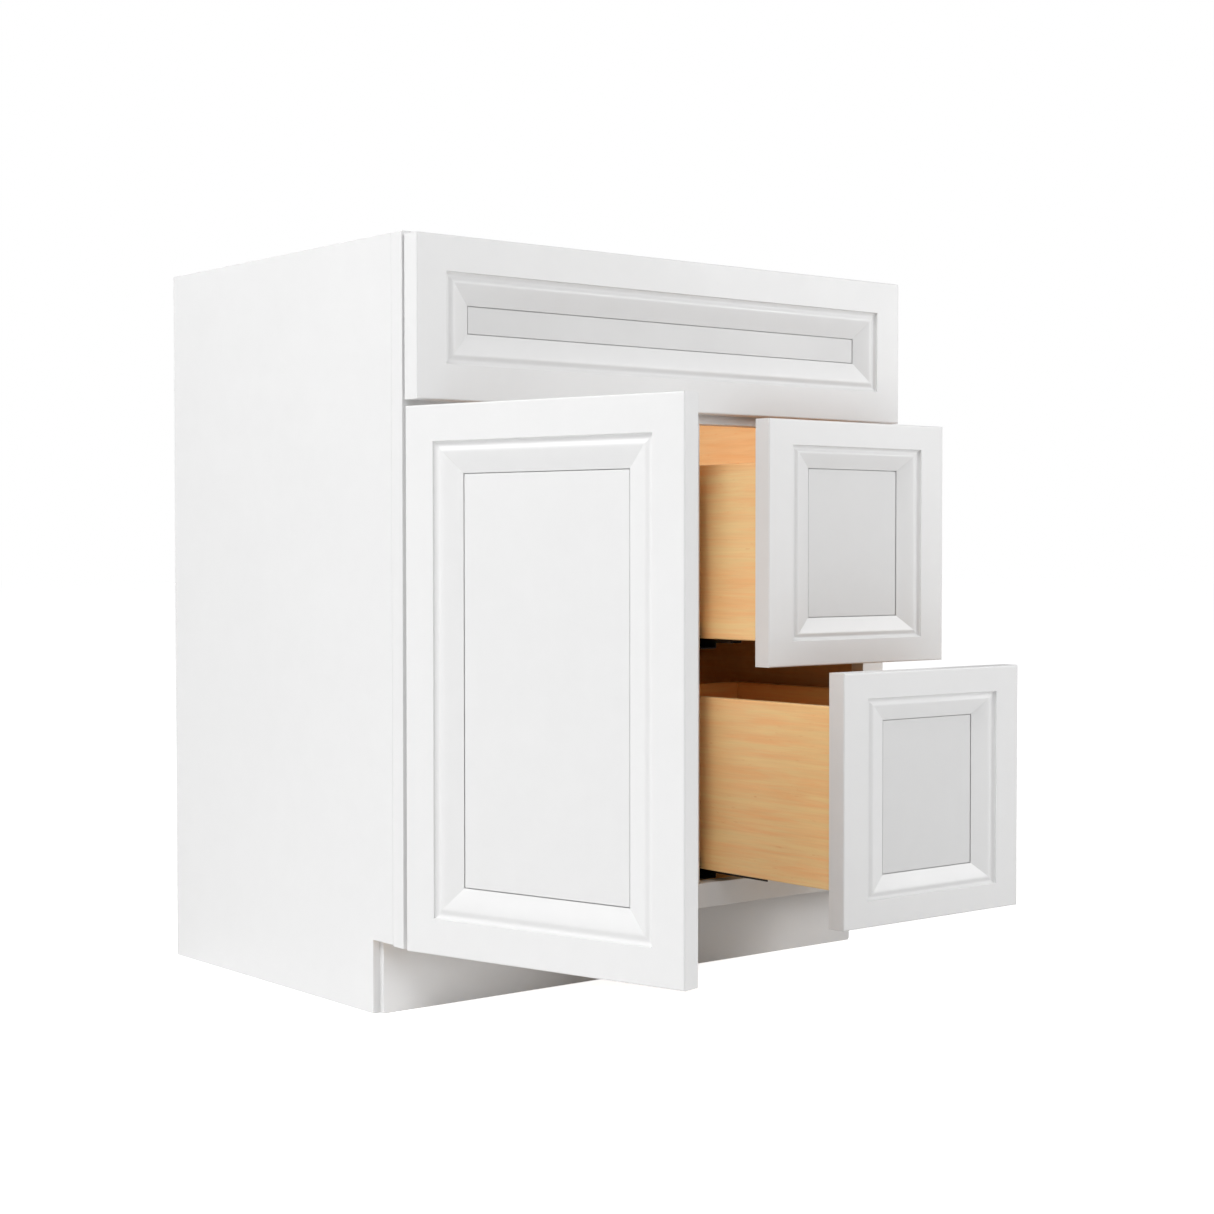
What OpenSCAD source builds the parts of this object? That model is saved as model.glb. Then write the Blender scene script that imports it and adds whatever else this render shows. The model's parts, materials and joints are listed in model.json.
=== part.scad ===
// Bathroom vanity base cabinet, 30 in wide: one door, two drawers and a false front on a face frame.
// Origin on the floor at the middle of the rear face; the front looks towards -Y.

/* [Cabinet] */
// Overall width over the side panels
width = 762; // [680:1:960]
// Overall height, floor to countertop seat
height = 876; // [760:1:1060]
// Depth from the wall to the front of the face frame
depth = 527; // [430:1:640]

/* [Carcass] */
// Thickness of the side panels
side_t = 16; // [12:0.5:20]
// Thickness of the back panel
back_t = 9; // [6:0.5:16]
// Thickness of the bottom panel
bottom_t = 12; // [9:0.5:18]
// Thickness of the upright partition beside the drawers
partition_t = 13; // [9:0.5:18]
// Depth of the grooves that hold the bottom panel in the sides
dado_d = 6; // [3:0.5:8]
// Height of the hanging rail
hanging_rail_h = 90; // [60:1:120]
// Thickness of the hanging rail
hanging_rail_t = 16; // [12:0.5:20]
// Leg of the triangular corner braces
brace_leg = 90; // [60:1:110]
// Thickness of the corner braces
brace_t = 16; // [12:0.5:20]
// Distance between the wall screws, one stud to the next
stud_pitch = 406; // [300:1:500]

/* [Toe kick] */
// Height of the toe space
toe_h = 82; // [70:1:110]
// Distance of the toe-kick board behind the face frame's front
toe_setback = 54; // [45:1:75]
// Thickness of the toe-kick board
toe_board_t = 7.5; // [5:0.5:12]
// Distance of the toe-kick board's ends inside the cabinet's sides
toe_inset = 9; // [0:0.5:16]
// Height of the side panels' notch above the face frame's lower edge
notch_rise = 2; // [0:0.5:6]

/* [Face frame] */
// Thickness of the face frame
frame_t = 21; // [18:0.5:25]
// Width of the outer stiles, and of the top and mid rails
frame_w = 38; // [34:0.5:50]
// Width of the centre stile
centre_stile_w = 101.5; // [96:0.5:105]
// Width of the bottom rail
bottom_rail_w = 30.5; // [25:0.5:45]

/* [Fronts] */
// Thickness of the door, drawer fronts and false front
front_t = 25; // [22:0.5:30]
// Distance of the fronts inside the cabinet's outer edges
front_inset = 1.25; // [0:0.25:4]
// Width of the drawer fronts
drawer_front_w = 305.5; // [280:0.5:330]
// Exposed width of face frame between the closed door and the drawers
centre_reveal = 81; // [78:0.5:90]
// Height of the false front
false_front_h = 182; // [165:1:220]
// Distance from the false front to the countertop seat
top_reveal = 4; // [2:0.5:12]
// Gap between the false front and the fronts below it
mid_reveal = 7.5; // [3:0.5:12]
// Gap between the two drawer fronts
drawer_gap = 1.5; // [1:0.25:4]
// Distance of the door's and lower drawer's edge above the face frame's lower edge
bottom_reveal = 0.5; // [0:0.25:6]
// Gap between the face frame and the backs of the fronts
seat_gap = 2.5; // [2.5:0.1:3.5]
// Width of the members of the door and false front, and of the drawer fronts' stiles
member_w = 75; // [68:0.5:80]
// Width of the drawer fronts' rails
drawer_rail_w = 58; // [50:0.5:66]
// Width of the flat border outside the moulding
flat_w = 40; // [39:0.5:44]
// Depth of the centre panel below the flat border
panel_recess = 10.75; // [8:0.25:12]
// Thickness of the centre panels
panel_t = 6; // [5:0.25:8]
// Depth of the groove that holds a centre panel
groove_d = 10; // [6:0.5:11]

/* [Door hinges] */
// Opening angle of the door at rest
door_open = 75.9; // [0:0.1:100]
// Distance of the hinge pins from the door's edge
pin_edge = 7.5; // [7:0.1:8]
// Distance of the hinge pins in front of the door's back face
pin_deep = 14; // [13.5:0.1:14.5]
// Radius of the hinge pins
pin_r = 1.5; // [1.2:0.1:1.8]
// Radius of the hinge cups
cup_r = 17.5; // [17:0.1:18]
// Solid wood left between a hinge cup and the door's edge
cup_edge = 3; // [3:0.1:3.5]
// Distance of the hinges from the door's top and bottom edges
hinge_inset = 90; // [60:1:130]

/* [Drawers] */
// How far the upper drawer is pulled out
upper_pull = 78; // [0:1:400]
// How far the lower drawer is pulled out
lower_pull = 204; // [0:1:400]
// Thickness of the drawer box walls
box_t = 13; // [12:0.5:16]
// Thickness of the drawer bottoms
box_bottom_t = 6; // [4:0.5:8]
// Height of a drawer bottom above the lower edge of its box
box_recess = 12; // [10:0.5:14]
// Depth of the grooves that hold the drawer bottoms
box_groove = 6; // [4:0.5:8]
// Distance of a box's left side inside its front's left edge
box_left_inset = 6.5; // [5:0.5:12]
// Gap between a drawer box and the faces that carry its slides
box_side_gap = 5.5; // [5:0.5:8]
// Distance of the upper box above its front's lower edge
upper_box_lift = 31; // [20:1:50]
// Height of the drawer boxes
box_h = 215.5; // [120:0.5:230]
// Overlap of the door's and upper drawer's top edge on the mid rail
mid_overlay = 3.5; // [2:0.5:12]

/* [Drawer slides] */
// Height of the space for a slide under its drawer box
slide_h = 13; // [13:0.5:16]
// Width of a slide, from the face that carries it to its runner's inner edge
slide_w = 37; // [35:0.5:42]
// Thickness of the slides' steel
slide_t = 1.2; // [1:0.1:1.5]
// Space behind the slides for their rear brackets
slide_rear = 40; // [30:1:60]
// Free length of a slide behind its drawer box
slide_spare = 15; // [5:1:30]
// Length by which the middle members are shorter than the rails
middle_short = 57; // [40:1:90]
// Height of the packing strips that carry the slides
packer_h = 50; // [30:1:60]

/* [Hidden] */
$fn = 48;
eps = 0.5;

// Clearances between parts that fit together
bore_clear = 0.05;
cup_clear = 0.1;
pocket_clear = 0.5;
panel_edge_clear = 1;
slide_floor_clear = 0.5;
runner_clear = 0.5;
rail_start_clear = 1;

// Main planes
half_w = width / 2;
frame_y = -depth;
frame_back_y = frame_y + frame_t;
inside_x = half_w - side_t;
stile_x = half_w - frame_w;
back_front_y = -back_t;
bottom_top_z = toe_h + bottom_rail_w;
bottom_low_z = bottom_top_z - bottom_t;

// Fronts
fronts_w = width - 2 * front_inset;
door_w = fronts_w - drawer_front_w - centre_reveal;
door_x = -half_w + front_inset;
door_z = toe_h + bottom_reveal;
false_z = height - top_reveal - false_front_h;
door_h = false_z - mid_reveal - door_z;
drawer_front_h = (door_h - drawer_gap) / 2;
drawer_x = half_w - front_inset - drawer_front_w;
upper_z = door_z + drawer_front_h + drawer_gap;
mid_rail_z = door_z + door_h - mid_overlay;
closed_y = frame_y - seat_gap;
closed_front_y = closed_y - front_t;

// Centre stile and partition: the door laps the stile by the outer stiles' width
centre_x = door_x + door_w - frame_w;
centre_right_x = centre_x + centre_stile_w;
partition_x = centre_right_x - partition_t;

// Drawer boxes and slides
box_x = drawer_x + box_left_inset;
box_right_x = stile_x - box_side_gap;
box_w = box_right_x - box_x;
wall_left_x = box_x - box_side_gap;
rail_len = depth - frame_t - back_t - slide_rear;
rail_y = frame_back_y + rail_start_clear;
box_len = rail_len - slide_spare;
middle_len = rail_len - middle_short;
lower_box_z = bottom_top_z + slide_h + slide_floor_clear;
upper_box_z = upper_z + upper_box_lift;
box_zs = [lower_box_z, upper_box_z];
runner_left_x = box_x + box_t + runner_clear;
runner_right_x = wall_left_x + slide_w;
middle_left_x = runner_left_x + slide_t + runner_clear;
middle_right_x = runner_right_x - slide_t - runner_clear;
middle_drop = 6;

// Hinges
pin_x = door_x + pin_edge;
pin_y = closed_y - pin_deep;
cup_x = door_x + cup_edge + cup_r;
cup_depth = pin_deep + 4.5;
cup_wall = 1.2;
cup_bottom = 1;
hinge_zs = [door_z + hinge_inset, door_z + door_h - hinge_inset];
arm_t = 1.2;
arm_h = 9;
arm_reach = 17.5;
arm_dip = 8;
plate_t = 1.5;
plate_h = 44;
plate_y = 17;
sleeve_r = 2.3;
cup_ear_h = 3;
flange_w = 18;
flange_h = 54;
flange_t = 1;
flange_screw = 22.5;

// Screws: [shank radius, length, head radius, head height]
screw_cover = 1;
wood_screw = [1.8, 12, 3.6, 1];
bracket_screw = [1.8, 10.5, 3.6, 1];
front_screw = [2, box_t + front_t - panel_recess - panel_t - screw_cover, 4, 2];
bracket_t = 2.5;
cleat_t = 16;
cleat_w = 40;
cleat_x = width / 4;
cleat_bite = 12;
cleat_screw = [2.2, cleat_t + frame_t + seat_gap + cleat_bite, 4.5, 2.2];
wall_hole_r = 2.6;
brace_hole_r = 2.4;
brace_hole_in = 24;
bumper_r = 4;
bumper_t = 2;
bumper_in = 14;

white = "#f2f2f1";
maple = "#e6b47c";
steel = "#b9bcc0";
black_steel = "#2b2826";

// A box given by its low and high corners
module block(low, high) {
  translate(low) cube(high - low);
}

// A screw with its head's underside at the origin, driven towards +Z
module screw(size) {
  cylinder(h = size[1], r = size[0]);
  translate([0, 0, -size[3]]) cylinder(h = size[3], r = size[2]);
}

// The hole that such a screw sits in
module screw_bore(size) {
  translate([0, 0, -eps]) cylinder(h = size[1] + 2 * eps, r = size[0] + bore_clear);
}

// Turns +Z to -Y, +Y, +X and -X
module to_front() { rotate([90, 0, 0]) children(); }
module to_back() { rotate([-90, 0, 0]) children(); }
module to_right() { rotate([0, 90, 0]) children(); }
module to_left() { rotate([0, -90, 0]) children(); }

// ---------- carcass ----------

module side_panel() {
  difference() {
    block([-half_w, frame_back_y, 0], [-inside_x, 0, height]);
    block([-half_w - eps, frame_back_y - eps, -eps],
          [-inside_x + eps, frame_y + toe_setback + toe_board_t, toe_h + notch_rise]);
    block([-inside_x - dado_d, frame_back_y - eps, bottom_low_z],
          [-inside_x + eps, back_front_y, bottom_top_z]);
  }
}

module left_side_panel() {
  color(white) side_panel();
}

module right_side_panel() {
  color(white) mirror([1, 0, 0]) side_panel();
}

module bottom_panel() {
  color(maple) block([-inside_x - dado_d, frame_back_y, bottom_low_z],
                     [inside_x + dado_d, back_front_y, bottom_top_z]);
}

module wall_holes() {
  for (side = [-1, 1])
    translate([side * stud_pitch / 2, eps, height - hanging_rail_h / 2])
      to_front() cylinder(h = back_t + hanging_rail_t + 2 * eps, r = wall_hole_r);
}

module back_panel() {
  color(maple) difference() {
    block([-inside_x, back_front_y, 0], [inside_x, 0, height]);
    wall_holes();
    bracket_screws() screw_bore(bracket_screw);
  }
}

module hanging_rail() {
  color(maple) difference() {
    block([-inside_x, back_front_y - hanging_rail_t, height - hanging_rail_h],
          [inside_x, back_front_y, height]);
    wall_holes();
  }
}

module partition_panel() {
  color(maple) block([partition_x, frame_back_y, bottom_top_z],
                     [centre_right_x, back_front_y, mid_rail_z + frame_w]);
}

module toe_kick_board() {
  color(white) block([-half_w + toe_inset, frame_y + toe_setback, 0],
                     [half_w - toe_inset, frame_y + toe_setback + toe_board_t,
                      toe_h + notch_rise]);
}

// Places a brace's square corner in each top corner of the carcass
module at_brace_corners() {
  for (side = [0, 1]) mirror([side, 0, 0]) {
    translate([-inside_x, frame_back_y, height - brace_t]) children();
    translate([-inside_x, back_front_y - hanging_rail_t, height - brace_t])
      mirror([0, 1, 0]) children();
  }
}

module corner_braces() {
  color(maple) at_brace_corners() difference() {
    linear_extrude(brace_t) polygon([[0, 0], [brace_leg, 0], [0, brace_leg]]);
    translate([brace_hole_in, brace_hole_in, -eps])
      cylinder(h = brace_t + 2 * eps, r = brace_hole_r);
  }
}

module slide_packers() {
  color(maple) for (z = box_zs) difference() {
    union() {
      block([centre_right_x, frame_back_y, z - slide_h - slide_floor_clear],
            [wall_left_x, back_front_y, z - slide_h - slide_floor_clear + packer_h]);
      block([stile_x, frame_back_y, z - slide_h - slide_floor_clear],
            [inside_x, back_front_y, z - slide_h - slide_floor_clear + packer_h]);
    }
    at_rail_screws(z) screw_bore(wood_screw);
  }
}

// ---------- face frame ----------

module frame_piece(low_x, high_x, low_z, high_z) {
  block([low_x, frame_y, low_z], [high_x, frame_back_y, high_z]);
}

module frame_left_stile() {
  color(white) difference() {
    frame_piece(-half_w, -stile_x, toe_h, height);
    for (z = hinge_zs) at_plate_screws(z) screw_bore(wood_screw);
  }
}

module frame_right_stile() {
  color(white) frame_piece(stile_x, half_w, toe_h, height);
}

module frame_centre_stile() {
  color(white) frame_piece(centre_x, centre_right_x, bottom_top_z, mid_rail_z);
}

module frame_top_rail() {
  color(white) frame_piece(-stile_x, stile_x, height - frame_w, height);
}

module frame_mid_rail() {
  color(white) frame_piece(-stile_x, stile_x, mid_rail_z, mid_rail_z + frame_w);
}

module frame_bottom_rail() {
  color(white) frame_piece(-stile_x, stile_x, toe_h, bottom_top_z);
}

// ---------- panelled fronts ----------
// A front is drawn with its lower left front corner at the origin and its back at y = front_t.

// Section of a member as [depth, distance from the outer edge]; the moulding narrows with the member
function member_section(w) = let (s = w / member_w) [
  [0, 0], [0, flat_w * s], [1.8, flat_w * s], [3.8, (flat_w + 5) * s],
  [2.4, (flat_w + 10) * s], [2.5, (flat_w + 12) * s],
  [panel_recess - 0.5, w], [panel_recess, w],
  [panel_recess, w - groove_d * s - panel_edge_clear],
  [panel_recess + panel_t, w - groove_d * s - panel_edge_clear],
  [panel_recess + panel_t, w - 3], [front_t, w - 3], [front_t, 0]
];

// A member of length len along X and width w up Z, mitred to neighbours of width next_w
module member(len, w, next_w) {
  intersection() {
    rotate([90, 0, 90]) linear_extrude(len) polygon(member_section(w));
    translate([0, front_t + eps, 0]) to_front() linear_extrude(front_t + 2 * eps)
      polygon([[0, 0], [len, 0], [len - next_w, w], [next_w, w]]);
  }
}

module low_rail(w, h, stile_w, rail_w) { member(w, rail_w, stile_w); }

module high_rail(w, h, stile_w, rail_w) {
  translate([0, 0, h]) mirror([0, 0, 1]) member(w, rail_w, stile_w);
}

module near_stile(w, h, stile_w, rail_w) { mirror([1, 0, -1]) member(h, stile_w, rail_w); }

module far_stile(w, h, stile_w, rail_w) {
  translate([w, 0, 0]) mirror([1, 0, 0]) near_stile(w, h, stile_w, rail_w);
}

module centre_panel(w, h, stile_w, rail_w) {
  side = stile_w - groove_d;
  end = rail_w - groove_d * rail_w / member_w;
  block([side, panel_recess, end], [w - side, panel_recess + panel_t, h - end]);
}

// ---------- false front ----------

module at_false_front() {
  translate([-half_w + front_inset, closed_front_y, false_z]) children();
}

module false_bores() {
  at_cleat_screws() screw_bore(cleat_screw);
}

module false_front_left_stile() {
  color(white) at_false_front() near_stile(fronts_w, false_front_h, member_w, member_w);
}

module false_front_right_stile() {
  color(white) at_false_front() far_stile(fronts_w, false_front_h, member_w, member_w);
}

module false_front_top_rail() {
  color(white) difference() {
    at_false_front() high_rail(fronts_w, false_front_h, member_w, member_w);
    false_bores();
  }
}

module false_front_bottom_rail() {
  color(white) difference() {
    at_false_front() low_rail(fronts_w, false_front_h, member_w, member_w);
    false_bores();
  }
}

module false_front_panel() {
  color(white) at_false_front() centre_panel(fronts_w, false_front_h, member_w, member_w);
}

// Screws that pull the false front and its bumpers against the frame, heads on the cleats' backs
module at_cleat_screws() {
  for (side = [-1, 1])
    for (z = [mid_rail_z + frame_w + 20, height - frame_w - 20])
      translate([side * cleat_x, frame_back_y + cleat_t, z]) to_front() children();
}

module false_front_cleats() {
  color(maple) difference() {
    for (side = [-1, 1])
      block([side * cleat_x - cleat_w / 2, frame_back_y, mid_rail_z + 4],
            [side * cleat_x + cleat_w / 2, frame_back_y + cleat_t, height - 4]);
    false_bores();
  }
}

module false_front_bumpers() {
  color("#d8d8d4") for (side = [-1, 1])
    for (z = [false_z + bumper_in, false_z + false_front_h - bumper_in])
      translate([side * (half_w - front_inset - bumper_in), frame_y, z]) to_front()
        cylinder(h = seat_gap, r = bumper_r);
}

// ---------- door ----------

// Turns the closed door about its hinge pins to where it rests
module door_pose() {
  translate([pin_x, pin_y, 0]) rotate([0, 0, -door_open]) translate([-pin_x, -pin_y, 0])
    children();
}

module at_door() {
  translate([door_x, closed_front_y, door_z]) children();
}

module at_cup_screws() {
  for (z = hinge_zs) for (side = [-1, 1])
    translate([cup_x, closed_y + flange_t, z + side * flange_screw]) to_front() children();
}

module door_hinge_stile() {
  color(white) door_pose() difference() {
    at_door() near_stile(door_w, door_h, member_w, member_w);
    for (z = hinge_zs)
      translate([cup_x, closed_y + eps, z]) to_front()
        cylinder(h = cup_depth + pocket_clear + eps, r = cup_r + cup_clear);
    at_cup_screws() screw_bore(wood_screw);
  }
}

module door_free_stile() {
  color(white) door_pose() at_door() far_stile(door_w, door_h, member_w, member_w);
}

module door_top_rail() {
  color(white) door_pose() at_door() high_rail(door_w, door_h, member_w, member_w);
}

module door_bottom_rail() {
  color(white) door_pose() at_door() low_rail(door_w, door_h, member_w, member_w);
}

module door_panel() {
  color(white) door_pose() at_door() centre_panel(door_w, door_h, member_w, member_w);
}

module door_bumpers() {
  color("#d8d8d4") door_pose() for (z = [door_z + bumper_in, door_z + door_h - bumper_in])
    translate([door_x + door_w - bumper_in, closed_y + bumper_t, z]) to_front()
      cylinder(h = bumper_t, r = bumper_r);
}

// ---------- hinges ----------

// Cup let into the door's back, with two ears that hold the pin and a flange above and below
module hinge_cup(z) {
  color(steel) door_pose() translate([cup_x, closed_y, z]) difference() {
    union() {
      difference() {
        to_front() cylinder(h = cup_depth, r = cup_r);
        translate([0, eps, 0]) to_front()
          cylinder(h = cup_depth - cup_bottom + eps, r = cup_r - cup_wall);
      }
      intersection() {
        for (side = [-1, 1])
          translate([pin_x - cup_x, -pin_deep, side * (arm_h / 2 + 0.3 + cup_ear_h / 2)])
            cube([7, 8, cup_ear_h], center = true);
        to_front() cylinder(h = cup_depth, r = cup_r - cup_wall / 2);
      }
      difference() {
        block([-flange_w / 2, 0, -flange_h / 2], [flange_w / 2, flange_t, flange_h / 2]);
        block([-flange_w, -eps, -cup_r + cup_wall], [flange_w, flange_t + eps, cup_r - cup_wall]);
      }
    }
    translate([pin_x - cup_x, -pin_deep, -cup_r]) cylinder(h = 2 * cup_r, r = pin_r + 0.02);
    for (side = [-1, 1]) translate([0, flange_t + eps, side * flange_screw]) to_front()
      cylinder(h = flange_t + 2 * eps, r = wood_screw[0] + bore_clear);
  }
}

module lower_hinge_cup() { hinge_cup(hinge_zs[0]); }
module upper_hinge_cup() { hinge_cup(hinge_zs[1]); }

module hinge_pins() {
  half_len = arm_h / 2 + 0.3 + cup_ear_h;
  color(steel) door_pose() for (z = hinge_zs)
    translate([pin_x, pin_y, z - half_len]) cylinder(h = 2 * half_len, r = pin_r);
}

// A flat strip of the arm between two points of its side view
module arm_strip(from, to) {
  run = to - from;
  translate(from) rotate(atan2(run[1], run[0])) translate([0, -arm_t / 2])
    square([norm(run), arm_t]);
  translate(from) circle(r = arm_t / 2);
  translate(to) circle(r = arm_t / 2);
}

module at_plate_screws(z) {
  for (side = [-1, 1])
    translate([-stile_x + plate_t, frame_y + plate_y / 2 + 1, z + side * (plate_h / 2 - 7)])
      to_left() children();
}

// Arm from the pin out of the cup, through the gap and round to the plate on the stile's inner edge
module hinge_arm(z) {
  knee = [pin_x + arm_reach * cos(arm_dip), pin_y - arm_reach * sin(arm_dip)];
  exit = [knee[0], frame_y - seat_gap / 2];
  end = [-stile_x + plate_t - arm_t / 2, exit[1]];
  color(steel) difference() {
    union() {
      translate([0, 0, z - arm_h / 2]) linear_extrude(arm_h) {
        translate([pin_x, pin_y]) circle(r = sleeve_r);
        arm_strip([pin_x, pin_y], knee);
        arm_strip(knee, exit);
        arm_strip(exit, end);
      }
      block([-stile_x, exit[1], z - arm_h / 2], [-stile_x + plate_t, frame_y + 2, z + arm_h / 2]);
      block([-stile_x, frame_y + 1, z - plate_h / 2],
            [-stile_x + plate_t, frame_y + 1 + plate_y, z + plate_h / 2]);
    }
    translate([pin_x, pin_y, z - arm_h]) cylinder(h = 2 * arm_h, r = pin_r + bore_clear);
    at_plate_screws(z) screw_bore(wood_screw);
  }
}

module lower_hinge_arm() { hinge_arm(hinge_zs[0]); }
module upper_hinge_arm() { hinge_arm(hinge_zs[1]); }

module door_screws() {
  color(steel) door_pose() at_cup_screws() screw(wood_screw);
}

// ---------- drawer slides ----------
// Each is drawn for the left side; the right one is its mirror image about the box's middle.

module both_sides() {
  children();
  translate([box_x + box_right_x, 0, 0]) mirror([1, 0, 0]) children();
}

module at_rail_screws(z) {
  both_sides() for (share = [0.06, 0.5, 0.94])
    translate([wall_left_x + slide_t, rail_y + rail_len * share, z + 8]) to_left() children();
}

// Fixed rail: a web on the packer, a shelf under the box's side and a fin up into the middle member
module slide_rails(z) {
  low_z = z - slide_h;
  fin_x = (middle_left_x + middle_right_x + slide_t) / 2;
  fin_z = z + box_recess - 2 * (slide_t + slide_floor_clear);
  color(black_steel) difference() {
    both_sides() {
      block([wall_left_x, rail_y, low_z], [wall_left_x + slide_t, rail_y + rail_len, z + 15]);
      block([wall_left_x, rail_y, low_z], [fin_x, rail_y + rail_len, low_z + slide_t]);
      block([fin_x - slide_t, rail_y, low_z], [fin_x, rail_y + rail_len, fin_z]);
    }
    at_rail_screws(z) screw_bore(wood_screw);
  }
}

module lower_slide_rails() { slide_rails(lower_box_z); }
module upper_slide_rails() { slide_rails(upper_box_z); }

// Middle member: an inverted channel over the fin that travels half as far as the drawer
module slide_middles(z, pull) {
  top_z = z + box_recess - slide_t - slide_floor_clear;
  color(black_steel) translate([0, -pull / 2, 0]) both_sides() difference() {
    block([middle_left_x, rail_y, z - middle_drop], [middle_right_x, rail_y + middle_len, top_z]);
    block([middle_left_x + slide_t, rail_y - eps, z - middle_drop - eps],
          [middle_right_x - slide_t, rail_y + middle_len + eps, top_z - slide_t]);
  }
}

module lower_slide_middles() { slide_middles(lower_box_z, lower_pull); }
module upper_slide_middles() { slide_middles(upper_box_z, upper_pull); }

// Runner under the drawer bottom, between the box's sides and round the middle member
module drawer_runners(z, pull) {
  front = closed_y + box_t;
  top_z = z + box_recess;
  color(black_steel) translate([0, -pull, 0]) both_sides() difference() {
    block([runner_left_x, front, z], [runner_right_x, closed_y + box_len, top_z]);
    block([runner_left_x + slide_t, front - eps, z - eps],
          [runner_right_x - slide_t, closed_y + box_len + eps, top_z - slide_t]);
  }
}

module lower_drawer_runners() { drawer_runners(lower_box_z, lower_pull); }
module upper_drawer_runners() { drawer_runners(upper_box_z, upper_pull); }

module bracket_screws() {
  for (z = box_zs) both_sides() for (side = [-1, 1])
    translate([wall_left_x + slide_w / 2, back_front_y - bracket_t, z + side * 5 + 16])
      to_back() children();
}

// Tongue that carries a rail's rear end, on a plate screwed to the back panel
module slide_rear_brackets() {
  color("#dcdcdc") difference() {
    for (z = box_zs) both_sides() {
      block([wall_left_x, rail_y + rail_len, z - slide_h],
            [wall_left_x + slide_w, back_front_y, z - slide_h + bracket_t]);
      block([wall_left_x, back_front_y - bracket_t, z - slide_h],
            [wall_left_x + slide_w, back_front_y, z + 26]);
    }
    bracket_screws() screw_bore(bracket_screw);
  }
}

module cabinet_screws() {
  color(steel) {
    for (z = hinge_zs) at_plate_screws(z) screw(wood_screw);
    for (z = box_zs) at_rail_screws(z) screw(wood_screw);
    bracket_screws() screw(bracket_screw);
    at_cleat_screws() screw(cleat_screw);
  }
}

// ---------- drawers ----------

module at_drawer_front(z, pull) {
  translate([drawer_x, closed_front_y - pull, z]) children();
}

// Screws through the box's front into the stiles of the drawer front
module at_front_screws(z, pull) {
  for (x = [box_x + 25, box_right_x - box_t - 4.5]) for (share = [0.25, 0.75])
    translate([x, closed_y + box_t - pull, z + box_h * share]) to_front() children();
}

module front_stiles(front_z, z, pull) {
  color(white) difference() {
    at_drawer_front(front_z, pull) {
      near_stile(drawer_front_w, drawer_front_h, member_w, drawer_rail_w);
      far_stile(drawer_front_w, drawer_front_h, member_w, drawer_rail_w);
    }
    at_front_screws(z, pull) screw_bore(front_screw);
  }
}

module front_rails(front_z, pull) {
  color(white) at_drawer_front(front_z, pull) {
    low_rail(drawer_front_w, drawer_front_h, member_w, drawer_rail_w);
    high_rail(drawer_front_w, drawer_front_h, member_w, drawer_rail_w);
  }
}

module front_panel(front_z, pull) {
  color(white) at_drawer_front(front_z, pull)
    centre_panel(drawer_front_w, drawer_front_h, member_w, drawer_rail_w);
}

// The space of a drawer bottom, which its grooves are cut to
module bottom_space(z, extra) {
  block([box_x + box_t - box_groove, closed_y + box_t - box_groove, z + box_recess],
        [box_right_x - box_t + box_groove, closed_y + box_len + extra,
         z + box_recess + box_bottom_t]);
}

module box_left_side(z, pull) {
  color(maple) translate([0, -pull, 0]) difference() {
    block([box_x, closed_y, z], [box_x + box_t, closed_y + box_len, z + box_h]);
    bottom_space(z, eps);
  }
}

module box_right_side(z, pull) {
  color(maple) translate([0, -pull, 0]) difference() {
    block([box_right_x - box_t, closed_y, z], [box_right_x, closed_y + box_len, z + box_h]);
    bottom_space(z, eps);
  }
}

module box_front(z, pull) {
  color(maple) difference() {
    translate([0, -pull, 0]) difference() {
      block([box_x + box_t, closed_y, z], [box_right_x - box_t, closed_y + box_t, z + box_h]);
      bottom_space(z, eps);
    }
    at_front_screws(z, pull) screw_bore(front_screw);
  }
}

module box_back(z, pull) {
  color(maple) translate([0, -pull, 0])
    block([box_x + box_t, closed_y + box_len - box_t, z + box_recess + box_bottom_t],
          [box_right_x - box_t, closed_y + box_len, z + box_h]);
}

module box_bottom(z, pull) {
  color(maple) translate([0, -pull, 0]) bottom_space(z, 0);
}

module drawer_screws(z, pull) {
  color(steel) at_front_screws(z, pull) screw(front_screw);
}

module upper_front_stiles() { front_stiles(upper_z, upper_box_z, upper_pull); }
module upper_front_rails() { front_rails(upper_z, upper_pull); }
module upper_front_panel() { front_panel(upper_z, upper_pull); }
module upper_box_left_side() { box_left_side(upper_box_z, upper_pull); }
module upper_box_right_side() { box_right_side(upper_box_z, upper_pull); }
module upper_box_front() { box_front(upper_box_z, upper_pull); }
module upper_box_back() { box_back(upper_box_z, upper_pull); }
module upper_box_bottom() { box_bottom(upper_box_z, upper_pull); }
module upper_drawer_screws() { drawer_screws(upper_box_z, upper_pull); }

module lower_front_stiles() { front_stiles(door_z, lower_box_z, lower_pull); }
module lower_front_rails() { front_rails(door_z, lower_pull); }
module lower_front_panel() { front_panel(door_z, lower_pull); }
module lower_box_left_side() { box_left_side(lower_box_z, lower_pull); }
module lower_box_right_side() { box_right_side(lower_box_z, lower_pull); }
module lower_box_front() { box_front(lower_box_z, lower_pull); }
module lower_box_back() { box_back(lower_box_z, lower_pull); }
module lower_box_bottom() { box_bottom(lower_box_z, lower_pull); }
module lower_drawer_screws() { drawer_screws(lower_box_z, lower_pull); }

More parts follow.
